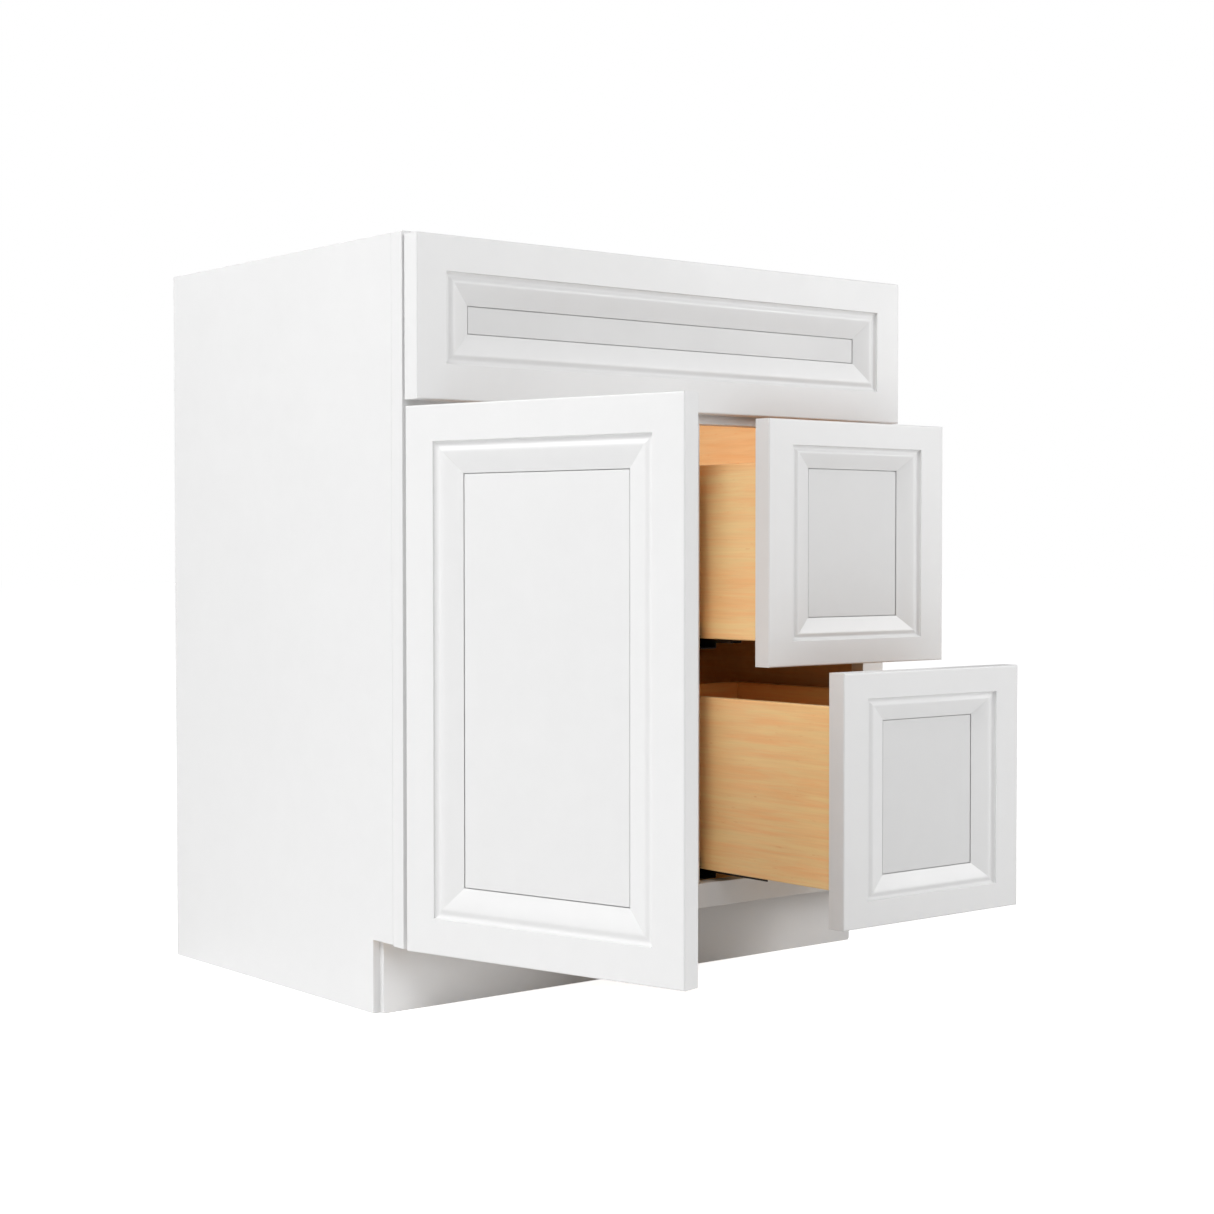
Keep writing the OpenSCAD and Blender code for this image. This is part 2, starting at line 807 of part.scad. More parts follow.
left_side_panel();
right_side_panel();
bottom_panel();
back_panel();
partition_panel();
hanging_rail();
toe_kick_board();
corner_braces();
slide_packers();
frame_left_stile();
frame_right_stile();
frame_centre_stile();
frame_top_rail();
frame_mid_rail();
frame_bottom_rail();
false_front_left_stile();
false_front_right_stile();
false_front_top_rail();
false_front_bottom_rail();
false_front_panel();
false_front_cleats();
false_front_bumpers();
upper_hinge_arm();
lower_hinge_arm();
upper_slide_rails();
lower_slide_rails();
slide_rear_brackets();
cabinet_screws();
door_hinge_stile();
door_free_stile();
door_top_rail();
door_bottom_rail();
door_panel();
upper_hinge_cup();
lower_hinge_cup();
hinge_pins();
door_screws();
door_bumpers();
upper_front_stiles();
upper_front_rails();
upper_front_panel();
upper_box_left_side();
upper_box_right_side();
upper_box_front();
upper_box_back();
upper_box_bottom();
upper_drawer_runners();
upper_drawer_screws();
upper_slide_middles();
lower_front_stiles();
lower_front_rails();
lower_front_panel();
lower_box_left_side();
lower_box_right_side();
lower_box_front();
lower_box_back();
lower_box_bottom();
lower_drawer_runners();
lower_drawer_screws();
lower_slide_middles();
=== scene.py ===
import json
import math

import bpy
import numpy as np
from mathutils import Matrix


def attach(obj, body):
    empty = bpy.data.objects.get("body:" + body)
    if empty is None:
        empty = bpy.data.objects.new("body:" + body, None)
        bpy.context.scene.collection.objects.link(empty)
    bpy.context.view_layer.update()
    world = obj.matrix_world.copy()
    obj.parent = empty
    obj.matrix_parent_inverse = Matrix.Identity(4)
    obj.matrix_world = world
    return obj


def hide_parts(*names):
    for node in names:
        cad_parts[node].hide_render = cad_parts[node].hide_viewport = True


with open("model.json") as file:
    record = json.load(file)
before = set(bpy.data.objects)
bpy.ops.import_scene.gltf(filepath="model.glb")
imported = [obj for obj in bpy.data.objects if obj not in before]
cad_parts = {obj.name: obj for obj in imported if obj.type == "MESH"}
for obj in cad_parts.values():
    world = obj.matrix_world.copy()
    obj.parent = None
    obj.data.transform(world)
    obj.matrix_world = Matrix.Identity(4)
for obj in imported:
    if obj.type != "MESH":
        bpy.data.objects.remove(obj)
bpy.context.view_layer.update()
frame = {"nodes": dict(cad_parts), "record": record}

behaviour = frame["record"]["behaviour"]
joints = {joint["name"]: joint for joint in behaviour["joints"]}

doorPin = np.array(joints["door_hinge"]["pos_m"])
doorRest = math.radians(-joints["door_hinge"]["range_deg"][0])  # how far the door stands open at rest


def turnDoor(points, angle):
    # turns points about the hinge pins by the angle, clockwise seen from above
    p = np.asarray(points, float).reshape(-1, 3) - doorPin
    c, s = math.cos(angle), math.sin(angle)
    return np.stack([p[:, 0] * c + p[:, 1] * s, -p[:, 0] * s + p[:, 1] * c, p[:, 2]], 1) + doorPin


def bodyOf(node):
    return next(body for body, members in behaviour["bodies"].items() if node in members)


def nodePoints(node):
    # every corner of a CAD node's mesh; the door's nodes are measured as if the door were shut
    mesh = frame["nodes"][node].data
    flat = np.empty(len(mesh.vertices) * 3, np.float32)
    mesh.vertices.foreach_get("co", flat)
    points = flat.reshape(-1, 3).astype(float)
    return turnDoor(points, -doorRest) if bodyOf(node) == "door" else points


def spanOf(points):
    points = np.asarray(points).reshape(-1, 3)
    return points.min(0), points.max(0)


def placeOf(*nodes):
    return spanOf(np.concatenate([nodePoints(node) for node in nodes]))


def solidsOf(node):
    # the separate solids of a node: every corner takes the least label among the triangles it is in
    mesh = frame["nodes"][node].data
    points = nodePoints(node)
    _, same = np.unique(np.round(points, 6), axis=0, return_inverse=True)
    same = same.reshape(-1)
    tris = np.empty(len(mesh.loop_triangles) * 3, np.int32)
    mesh.loop_triangles.foreach_get("vertices", tris)
    tris = same[tris.reshape(-1, 3)]
    label, before = np.arange(same.max() + 1), None
    while before is None or (label != before).any():
        before = label.copy()
        least = before[tris].min(1)
        for corner in range(3):
            np.minimum.at(label, tris[:, corner], least)
        label = label[label]
    owner = label[same]
    return [points[owner == k] for k in np.unique(owner)]


def quadGrid(rows, cols, wrap=True):
    # quads between neighbouring rows of points, closed round each row if wrap is true
    r, c = np.meshgrid(np.arange(rows - 1), np.arange(cols if wrap else cols - 1), indexing="ij")
    n = (c + 1) % cols
    return np.stack([r * cols + c, r * cols + n, (r + 1) * cols + n, (r + 1) * cols + c], -1).reshape(-1, 4)


def joinParts(parts):
    # several (points, faces) parts as one
    start = np.cumsum([0] + [len(points) for points, _ in parts])
    points = np.concatenate([points for points, _ in parts])
    return points, [[int(i) + s for i in face] for (_, faces), s in zip(parts, start) for face in faces]


def meshPiece(name, points, faces, materials, body, slot, replaces=(), smoothAngle=35, faceMaterial=None,
              ply=None):
    points = np.asarray(points, float).reshape(-1, 3)
    if body == "door":
        points = turnDoor(points, doorRest)
    mesh = bpy.data.meshes.new(name)
    mesh.from_pydata(points.tolist(), [], [[int(i) for i in face] for face in faces])
    mesh.update()
    piece = bpy.data.objects.new(name, mesh)
    bpy.context.scene.collection.objects.link(piece)
    for material in materials if isinstance(materials, (list, tuple)) else [materials]:
        mesh.materials.append(material)
    if faceMaterial is not None:
        mesh.polygons.foreach_set("material_index", np.asarray(faceMaterial, np.int32))
    if ply is not None:
        mesh.attributes.new("ply", "FLOAT", "POINT").data.foreach_set("value", np.asarray(ply, np.float32))
    mesh.polygons.foreach_set("use_smooth", np.ones(len(mesh.polygons), bool))
    mesh.set_sharp_from_angle(angle=math.radians(smoothAngle))
    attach(piece, body)
    if replaces:
        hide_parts(*replaces)
    return piece


def roundedLoop(corners, radius, steps=3):
    # an anticlockwise outline whose convex corners are arcs, with a point just past each arc's ends;
    # gives the points, their outward directions and how many points each corner has
    corners = np.asarray(corners, float)
    ahead = np.roll(corners, -1, 0) - corners
    ahead /= np.linalg.norm(ahead, axis=1)[:, None]
    points, outward, counts = [], [], []
    for k in range(len(corners)):
        a, b = ahead[k - 1], ahead[k]
        na, nb = np.array([a[1], -a[0]]), np.array([b[1], -b[0]])
        bisector = (na + nb) / (1 + na @ nb)
        if radius == 0 or a[0] * b[1] - a[1] * b[0] <= 0:
            points.append(corners[k])
            outward.append(bisector)
            counts.append(1)
            continue
        sweep = math.acos(np.clip(a @ b, -1, 1)) * np.linspace(0, 1, steps + 1)[:, None]
        arc = na * np.cos(sweep) + a * np.sin(sweep)
        centre = corners[k] - bisector * radius
        points += [centre + na * radius - a * radius * 0.3, *(centre + arc * radius),
                   centre + nb * radius + b * radius * 0.3]
        outward += [na, *arc, nb]
        counts.append(steps + 3)
    return np.array(points), np.array(outward), counts


def plateSurface(corners, rows, radius):
    # an outline carried through rows of (inset, level): each point moves in along its outward
    # direction by the inset; both ends are closed by a strip to an inner outline and one flat face
    loop, outward, counts = roundedLoop(corners, radius)
    inset, level = np.asarray(rows, float).T
    flat = loop[None] - outward[None] * inset[:, None, None]
    points = np.concatenate([flat, np.broadcast_to(level[:, None, None], flat.shape[:2] + (1,))], 2)
    cols, last = len(loop), (len(level) - 1) * len(loop)
    points = points.reshape(-1, 3)
    faces = [list(f) for f in quadGrid(len(level), cols)]
    tags = list(np.repeat(np.arange(len(level) - 1), cols))
    if radius == 0:
        caps = [list(range(cols))[::-1], list(range(last, last + cols))]
        return points, [*faces, *caps], [*tags, -1, len(level) - 1]
    bare, barePush, _ = roundedLoop(corners, 0)
    first = np.cumsum([0, *counts[:-1]])
    ends = ((0, inset[0], level[0], -1), (last, inset[-1], level[-1], len(level) - 1))
    for base, depth, height, tag in ends:
        start, corner = len(points), len(counts)
        inner = bare - barePush * (depth + 2.5 * radius)
        points = np.concatenate([points, np.column_stack([inner, np.full(corner, height)])])
        cap = []
        for k in range(corner):
            n = (k + 1) % corner
            group = base + first[k] + np.arange(counts[k])
            cap += [[p, q, start + k] for p, q in zip(group[:-1], group[1:])]
            cap.append([group[-1], base + first[n], start + n, start + k])
        cap.append(list(range(start, start + corner)))
        faces += [f[::-1] for f in cap] if tag < 0 else cap
        tags += [tag] * len(cap)
    return points, faces, tags


def arrisRows(low, high, arris, steps=3):
    # rows of (inset, level) for eased edges: in by arris * (1 - sin a) while up by arris * (1 - cos a)
    a = np.linspace(0, math.pi / 2, steps + 1)
    inset = np.concatenate([[arris * 1.4], arris * (1 - np.sin(a)), [0.0]])
    rise = np.concatenate([[0.0], arris * (1 - np.cos(a)), [arris * 1.4]])
    return np.column_stack([np.concatenate([inset, inset[::-1]]),
                            np.concatenate([low + rise, high - rise[::-1]])])


def laid(points, across):
    # an outline drawn in the two other axes, put into X, Y, Z with its levels along across
    placed = np.empty((len(points), 3))
    u, v = [axis for axis in range(3) if axis != across]
    placed[:, u], placed[:, v], placed[:, across] = points[:, 0], points[:, 1], points[:, 2]
    return placed


def boardPiece(name, low, high, across, arris, materials, body, slot, replaces=(), corners=None):
    # a board with eased edges; materials are for its low face, its edges and its high face, and a
    # fourth one is for the edges that look to the front
    u, v = [axis for axis in range(3) if axis != across]
    if corners is None:
        corners = [(low[u], low[v]), (high[u], low[v]), (high[u], high[v]), (low[u], high[v])]
    rows = arrisRows(low[across], high[across], arris)
    points, faces, tags = plateSurface(corners, rows, arris * 1.6)
    if across == 1:  # the other two axes taken in this order turn the outline round
        faces = [face[::-1] for face in faces]
    tags, edge = np.array(tags), len(rows) // 2 - 1
    faceMaterial = np.where(tags < edge, 0, np.where(tags == edge, 1, 2))
    share = (points[:, 2] - low[across]) / (high[across] - low[across])
    points = laid(points, across)
    if len(materials) == 4:
        corner = points[np.array([face[:3] for face in faces])]
        facing = np.cross(corner[:, 1] - corner[:, 0], corner[:, 2] - corner[:, 0])
        toFront = -facing[:, 1] > 0.5 * np.linalg.norm(facing, axis=1)
        faceMaterial[(tags == edge) & toFront] = 3
    return meshPiece(name, points, faces, materials, body, slot, replaces,
                     faceMaterial=faceMaterial, ply=share)


def newGroup(name, inputs, outputs):
    group = bpy.data.node_groups.new(name, "ShaderNodeTree")
    for label, kind, value in inputs:
        socket = group.interface.new_socket(label, in_out="INPUT", socket_type=kind)
        if value is not None:
            socket.default_value = value
    for label, kind in outputs:
        group.interface.new_socket(label, in_out="OUTPUT", socket_type=kind)
    return group, group.nodes.new("NodeGroupInput"), group.nodes.new("NodeGroupOutput")


def addNode(tree, kind, settings=None, **inputs):
    # in0, in1, ... name a socket by its place, and other names are the socket's own with _ for a space
    node = tree.nodes.new(kind)
    for key, value in (settings or {}).items():
        setattr(node, key, value)
    for key, value in inputs.items():
        numbered = key.startswith("in") and key[2:].isdigit()
        fill(tree, node.inputs[int(key[2:]) if numbered else key.replace("_", " ")], value)
    return node


def fill(tree, socket, value):
    if isinstance(value, bpy.types.NodeSocket):
        tree.links.new(value, socket)
    else:
        socket.default_value = value


def mathNode(tree, operation, first, second=0.0, clamp=False):
    settings = {"operation": operation, "use_clamp": clamp}
    return addNode(tree, "ShaderNodeMath", settings, in0=first, in1=second).outputs[0]


def mixColour(tree, factor, first, second, blend="MIX"):
    settings = {"data_type": "RGBA", "blend_type": blend}
    node = addNode(tree, "ShaderNodeMix", settings, in0=factor, in6=first, in7=second)
    return node.outputs[2]


def rangeNode(tree, value, low, high, newLow=0.0, newHigh=1.0):
    return addNode(tree, "ShaderNodeMapRange", None, in0=value, in1=low, in2=high,
                   in3=newLow, in4=newHigh).outputs[0]


def greyOf(tree, value):
    return addNode(tree, "ShaderNodeCombineColor", None, in0=value, in1=value, in2=value).outputs[0]


def noise(tree, vector, scale, detail=2.0, roughness=0.5, distortion=0.0):
    return addNode(tree, "ShaderNodeTexNoise", None, Vector=vector, Scale=scale, Detail=detail,
                   Roughness=roughness, Distortion=distortion).outputs["Fac"]


def stretchedNoise(tree, vector, stretch, scale, detail, roughness, distortion=0.0):
    # noise drawn out along the axis whose stretch is the smallest
    drawnOut = addNode(tree, "ShaderNodeMapping", None, Vector=vector, Scale=stretch).outputs[0]
    return noise(tree, drawnOut, scale, detail, roughness, distortion)


def makeMapleGroup():
    # grain runs along the vector's X: slow bands across it, fine fibres, and short darker flecks
    group, start, end = newGroup("mapleGrain", [
        ("Vector", "NodeSocketVector", None), ("Light Tone", "NodeSocketColor", (1.0, 0.69, 0.325, 1)),
        ("Warm Tone", "NodeSocketColor", (1.0, 0.575, 0.25, 1)),
        ("Fleck Tone", "NodeSocketColor", (0.80, 0.33, 0.12, 1)),
        ("Figure", "NodeSocketFloat", 1.0), ("Flecks", "NodeSocketFloat", 0.5)],
        [("Color", "NodeSocketColor"), ("Roughness", "NodeSocketFloat"), ("Height", "NodeSocketFloat")])
    vector = start.outputs["Vector"]
    bands = stretchedNoise(group, vector, (3.2, 42, 42), 2.0, 5.0, 0.6, 0.35)
    fibres = stretchedNoise(group, vector, (12, 480, 480), 1.0, 4.0, 0.65)
    dashes = stretchedNoise(group, vector, (55, 300, 300), 1.0, 2.0, 0.5)
    tone = mathNode(group, "MULTIPLY", rangeNode(group, bands, 0.38, 0.64), start.outputs["Figure"], True)
    warm = mixColour(group, tone, start.outputs["Light Tone"], start.outputs["Warm Tone"])
    streak = rangeNode(group, fibres, 0.25, 0.75, 0.94, 1.03)
    patch = rangeNode(group, noise(group, vector, 5.0), 0.3, 0.7, 0.97, 1.02)
    shaded = mixColour(group, 1.0, warm, greyOf(group, mathNode(group, "MULTIPLY", streak, patch)),
                       "MULTIPLY")
    dashMask = mathNode(group, "MULTIPLY", rangeNode(group, dashes, 0.68, 0.8),
                        start.outputs["Flecks"], True)
    group.links.new(mixColour(group, dashMask, shaded, start.outputs["Fleck Tone"]), end.inputs["Color"])
    group.links.new(rangeNode(group, fibres, 0.2, 0.8, 0.36, 0.5), end.inputs["Roughness"])
    sunk = mathNode(group, "MULTIPLY", dashMask, 0.6)
    group.links.new(mathNode(group, "SUBTRACT", fibres, sunk), end.inputs["Height"])
    return group


def makeFilmGroup():
    # sprayed or moulded skin: a low rolling peel for the bump, a faint mottle, and gloss that drifts
    group, start, end = newGroup("sprayedFilm", [
        ("Vector", "NodeSocketVector", None), ("Peel Size", "NodeSocketFloat", 1.0),
        ("Gloss Low", "NodeSocketFloat", 0.36), ("Gloss High", "NodeSocketFloat", 0.46)],
        [("Tint", "NodeSocketFloat"), ("Roughness", "NodeSocketFloat"), ("Height", "NodeSocketFloat")])
    vector = start.outputs["Vector"]
    sized = addNode(group, "ShaderNodeVectorMath", {"operation": "SCALE"}, in0=vector,
                    Scale=start.outputs["Peel Size"])
    mottle = noise(group, vector, 38.0, 3.0)
    group.links.new(rangeNode(group, mottle, 0.3, 0.7, 0.992, 1.004), end.inputs["Tint"])
    drift = noise(group, vector, 7.0, 3.0, 0.55)
    gloss = rangeNode(group, drift, 0.3, 0.7, start.outputs["Gloss Low"], start.outputs["Gloss High"])
    group.links.new(gloss, end.inputs["Roughness"])
    group.links.new(noise(group, sized.outputs[0], 420.0, 2.0, 0.45), end.inputs["Height"])
    return group


def makeMetalGroup():
    # plated steel: fine drawn lines along the vector's Y over a soft spangle, for tone, gloss and bump
    group, start, end = newGroup("platedSteel", [
        ("Vector", "NodeSocketVector", None), ("Base Tone", "NodeSocketColor", (0.6, 0.6, 0.6, 1)),
        ("Spangle", "NodeSocketFloat", 0.3), ("Gloss Low", "NodeSocketFloat", 0.25),
        ("Gloss High", "NodeSocketFloat", 0.4)],
        [("Color", "NodeSocketColor"), ("Roughness", "NodeSocketFloat"), ("Height", "NodeSocketFloat")])
    vector = start.outputs["Vector"]
    drawn = stretchedNoise(group, vector, (900, 40, 900), 1.0, 3.0, 0.6)
    cells = addNode(group, "ShaderNodeTexVoronoi", None, Vector=vector, Scale=160.0).outputs["Color"]
    tilt = addNode(group, "ShaderNodeSeparateColor", None, in0=cells).outputs[0]
    spangle = mathNode(group, "MULTIPLY", tilt, start.outputs["Spangle"])
    shade = mathNode(group, "SUBTRACT", rangeNode(group, drawn, 0.3, 0.7, 0.94, 1.04),
                     mathNode(group, "MULTIPLY", spangle, 0.5))
    toned = mixColour(group, 1.0, start.outputs["Base Tone"], greyOf(group, shade), "MULTIPLY")
    group.links.new(toned, end.inputs["Color"])
    gloss = rangeNode(group, drawn, 0.25, 0.75, start.outputs["Gloss Low"], start.outputs["Gloss High"])
    group.links.new(gloss, end.inputs["Roughness"])
    group.links.new(drawn, end.inputs["Height"])
    return group


mapleGroup, filmGroup, metalGroup = makeMapleGroup(), makeFilmGroup(), makeMetalGroup()


def newMaterial(name, **constants):
    material = bpy.data.materials.new(name)
    material.use_nodes = True
    shader = material.node_tree.nodes["Principled BSDF"]
    for key, value in constants.items():
        shader.inputs[key.replace("_", " ")].default_value = value
    return material, material.node_tree, shader


def finish(tree, shader, colour, roughness, height, strength, distance):
    bump = addNode(tree, "ShaderNodeBump", None, Strength=strength, Distance=distance, Height=height)
    for label, output in (("Base Color", colour), ("Roughness", roughness), ("Normal", bump.outputs[0])):
        tree.links.new(output, shader.inputs[label])


def objectPlace(tree):
    return addNode(tree, "ShaderNodeTexCoord").outputs["Object"]


def makeFilm(name, colour, peelSize=1.0, gloss=(0.36, 0.46), bump=0.1, **constants):
    material, tree, shader = newMaterial(name, **constants)
    film = addNode(tree, "ShaderNodeGroup", {"node_tree": filmGroup}, Vector=objectPlace(tree),
                   Peel_Size=peelSize, Gloss_Low=gloss[0], Gloss_High=gloss[1]).outputs
    tinted = mixColour(tree, 1.0, (*colour, 1), greyOf(tree, film["Tint"]), "MULTIPLY")
    finish(tree, shader, tinted, film["Roughness"], film["Height"], bump, 0.0002)
    return material


def makeMaple(name, grainAxis, light=(1.0, 0.69, 0.325), warm=(1.0, 0.575, 0.25), shift=0.0,
              figure=1.0, flecks=0.5):
    # the grain group reads its own X, so the coordinates are turned to bring the grain axis there
    turns = {"x": (0, 0, 0), "y": (0, 0, -math.pi / 2), "z": (0, math.pi / 2, 0)}
    material, tree, shader = newMaterial(name, Coat_Weight=0.2, Coat_Roughness=0.2)
    turned = addNode(tree, "ShaderNodeMapping", None, Vector=objectPlace(tree), Rotation=turns[grainAxis],
                     Location=(shift, shift * 0.7, shift * 1.3)).outputs[0]
    grain = addNode(tree, "ShaderNodeGroup", {"node_tree": mapleGroup}, Vector=turned, Figure=figure,
                    Flecks=flecks, Light_Tone=(*light, 1), Warm_Tone=(*warm, 1)).outputs
    finish(tree, shader, grain["Color"], grain["Roughness"], grain["Height"], 0.15, 0.0002)
    return material


def makePlyEdge(name, plies=7, facePly=(0.84, 0.62, 0.36), crossPly=(0.58, 0.36, 0.18)):
    # layers stacked through the board: a triangle wave of the thickness share picks face or cross ply
    material, tree, shader = newMaterial(name, Specular_IOR_Level=0.35)
    share = addNode(tree, "ShaderNodeAttribute", {"attribute_name": "ply"}).outputs["Fac"]
    place = objectPlace(tree)
    wobble = mathNode(tree, "MULTIPLY", mathNode(tree, "SUBTRACT", noise(tree, place, 30.0), 0.5), 0.35)
    counted = mathNode(tree, "MULTIPLY", share, float(plies))
    wave = mathNode(tree, "PINGPONG", mathNode(tree, "ADD", counted, wobble), 1.0)
    fibres = noise(tree, place, 700.0, 4.0, 0.7)
    layered = mixColour(tree, rangeNode(tree, wave, 0.42, 0.58), (*facePly, 1), (*crossPly, 1))
    streak = greyOf(tree, rangeNode(tree, fibres, 0.25, 0.75, 0.82, 1.08))
    shaded = mixColour(tree, 1.0, layered, streak, "MULTIPLY")
    finish(tree, shader, shaded, rangeNode(tree, fibres, 0.2, 0.8, 0.6, 0.75), fibres, 0.35, 0.0003)
    return material


def makeMetal(name, tone, spangle, gloss):
    material, tree, shader = newMaterial(name, Metallic=1.0)
    metal = addNode(tree, "ShaderNodeGroup", {"node_tree": metalGroup}, Vector=objectPlace(tree),
                    Base_Tone=(*tone, 1), Spangle=spangle, Gloss_Low=gloss[0], Gloss_High=gloss[1]).outputs
    finish(tree, shader, metal["Color"], metal["Roughness"], metal["Height"], 0.08, 0.0001)
    return material


paintWhite = makeFilm("satinWhitePaint", (0.74, 0.74, 0.74))
# the panel paints are darker copies of the white paint: painted shade for the recessed fields, deeper on
# the false front and drawers than on the door
panelPaintShaded = makeFilm("satinWhitePanelPaintedShade", (0.66, 0.66, 0.66), 0.8, (0.38, 0.5))
doorPanelPaintShaded = makeFilm("satinWhiteDoorPanelPaintedShade", (0.715, 0.715, 0.715), 0.8, (0.38, 0.5))
mapleSide = makeMaple("mapleAlongDepth", "y")
mapleWide = makeMaple("mapleAlongWidth", "x", shift=0.37)
mapleInside = makeMaple("mapleInside", "y", (0.88, 0.575, 0.28), (0.85, 0.49, 0.22), shift=0.81)
mapleTall = makeMaple("mapleUpright", "z", shift=0.81)
mapleEdge = makeMaple("mapleSolidEdge", "y", (0.97, 0.66, 0.33), (0.93, 0.56, 0.25), shift=0.15,
                      figure=0.6, flecks=0.2)
rawBack = makeMaple("rawPlyBack", "z", (0.80, 0.58, 0.34), (0.70, 0.46, 0.25), shift=1.3, flecks=0.8)
plyEdge = makePlyEdge("plyEdge")
steelNickel = makeMetal("nickelPlate", (0.72, 0.70, 0.67), 0.05, (0.2, 0.32))
# black coated slide steel; its near-black tone also paints in the shadow that lies under the drawer boxes
slideSteelBlackForShadow = makeMetal("blackCoatedSteel", (0.085, 0.08, 0.075), 0.1, (0.42, 0.6))
steelZinc = makeMetal("zincPlate", (0.70, 0.69, 0.64), 0.12, (0.25, 0.4))
greyPlastic = makeFilm("greyMouldedPlastic", (0.62, 0.62, 0.61), 2.2, (0.42, 0.55), 0.2)
clearSilicone = makeFilm("clearSilicone", (0.85, 0.86, 0.86), 3.0, (0.2, 0.3), 0.1,
                         Transmission_Weight=0.6, IOR=1.42)
print("materials made")


moulding = {
    "drawnWidth": 0.075,   # member width that the widths below belong to
    "flat": 0.040,         # width of the flat border
    "round": 0.0005,       # rounding of the border's inner edge
    "quirk": 0.0018,       # small step down at that edge
    "cove": 0.0046,        # width of the cove below the step
    "coveDepth": 0.0040,   # depth at the bottom of the cove
    "bead": 0.0062,        # width of the bead that rises after it
    "beadDepth": 0.0023,   # depth at the bead's crown
    "lipHeight": 0.0004,   # height above the panel where the long slope ends
    "arris": 0.0016,       # rounding of the outer edges
    "shadowGap": 0.0009,   # open channel between the slope's lip and the panel's raised field
    "gapDepth": 0.0016,    # depth of that channel
    "fieldArris": 0.0003,  # rounding of the raised field's edge
    "relief": 0.003,       # how far the back of the inner edge is cut away to take the panel
    "reliefGap": 0.0002,   # height of that cut above the panel
    "backArris": 0.0005,   # cut corner at the back of the inner edge
}


def mouldingSection(width, thickness, recess, size):
    # a member's section as (distance from the outer edge, depth): flat, step, cove as a quarter
    # wave down, bead as a raised cosine up, then a long slope that flattens towards the lip
    share, arris = width / size["drawnWidth"], size["arris"]
    a = np.linspace(0, math.pi / 2, 5)
    outer = np.column_stack([arris * (1 - np.sin(a)), arris * (1 - np.cos(a))])
    step = size["flat"] * share
    inner = np.column_stack([step - size["round"] * (1 - np.sin(a)), size["round"] * (1 - np.cos(a))])
    coveEnd = step + size["cove"] * share
    beadEnd = coveEnd + size["bead"] * share
    t = np.linspace(0, 1, 9)
    cove = np.column_stack([step + (coveEnd - step) * t,
                            size["quirk"] + (size["coveDepth"] - size["quirk"]) * np.sin(t * math.pi / 2)])
    rise = (size["coveDepth"] - size["beadDepth"]) * np.sin(t * math.pi / 2) ** 2
    bead = np.column_stack([coveEnd + (beadEnd - coveEnd) * t, size["coveDepth"] - rise])
    t = np.linspace(0, 1, 15)
    fall = t ** 1.2 * (1.15 - 0.15 * t)
    slope = np.column_stack([beadEnd + (width - beadEnd) * t,
                             size["beadDepth"] + (recess - size["lipHeight"] - size["beadDepth"]) * fall])
    lip = recess - size["reliefGap"]
    front = np.concatenate([[(0, arris * 1.4)], outer[::-1],
                            [(arris * 1.4, 0), (step - size["round"] * 1.6, 0)],
                            inner, cove[1:], bead[1:], slope[1:], [(width, lip)]])
    inside = width - size["relief"]
    back = np.array([(inside, lip), (inside, thickness - size["backArris"]),
                     (inside - size["backArris"], thickness), (arris * 1.4, thickness)])
    outerBack = np.column_stack([outer[:, 0], thickness - outer[:, 1]])
    return np.concatenate([front, back, outerBack, [(0, thickness - arris * 1.4)]])


def memberPiece(name, side, span, width, nextWidth, body, node):
    # the section carried between two mitres: a point starts and ends at nextWidth / width of its
    # own distance from the outer edge
    low, high = span
    section = mouldingSection(width, high[1] - low[1], panelRecess, moulding)
    distance = section[:, 0]
    upright = side in ("near", "far")
    length = high[2] - low[2] if upright else high[0] - low[0]
    mitre = distance * nextWidth / width
    along = np.stack([mitre, length - mitre])
    depth = low[1] + np.broadcast_to(section[:, 1], along.shape)
    if upright:
        out = low[0] + distance if side == "near" else high[0] - distance
        points = np.stack([np.broadcast_to(out, along.shape), depth, low[2] + along], -1)
    else:
        out = low[2] + distance if side == "low" else high[2] - distance
        points = np.stack([low[0] + along, depth, np.broadcast_to(out, along.shape)], -1)
    cols = len(distance)
    faces = [*map(list, quadGrid(2, cols)), list(range(cols))[::-1], list(range(cols, 2 * cols))]
    if side in ("high", "near"):
        faces = [face[::-1] for face in faces]
    return meshPiece(name, points, faces, paintWhite, body, "white_paint", [node])


def fieldPiece(name, node, opening, material, body):
    # rectangles through the panel's thickness: the raised field, the channel round it, and the tongue
    low, high = placeOf(node)
    gap, drop, arris = moulding["shadowGap"], moulding["gapDepth"], moulding["fieldArris"]
    x0, z0, x1, z1 = opening
    def field(inset):
        return [x0 + inset, z0 + inset, x1 - inset, z1 - inset]
    tongue = [low[0], low[2], high[0], high[2]]
    rows = [(field(gap + arris * 3), low[1]), (field(gap + arris), low[1]),
            (field(gap + arris * 0.3), low[1] + arris * 0.3), (field(gap), low[1] + arris),
            (field(gap), low[1] + drop), (tongue, low[1] + drop), (tongue, high[1])]
    rects, level = np.array([r for r, _ in rows]), np.array([y for _, y in rows])
    points = np.stack([rects[:, [0, 2, 2, 0]], np.repeat(level[:, None], 4, 1), rects[:, [1, 1, 3, 3]]], -1)
    last = (len(rows) - 1) * 4
    faces = [*map(list, quadGrid(len(rows), 4)), [3, 2, 1, 0], list(range(last, last + 4))]
    meshPiece(name, points, [face[::-1] for face in faces], material, body, "white_paint", [node])


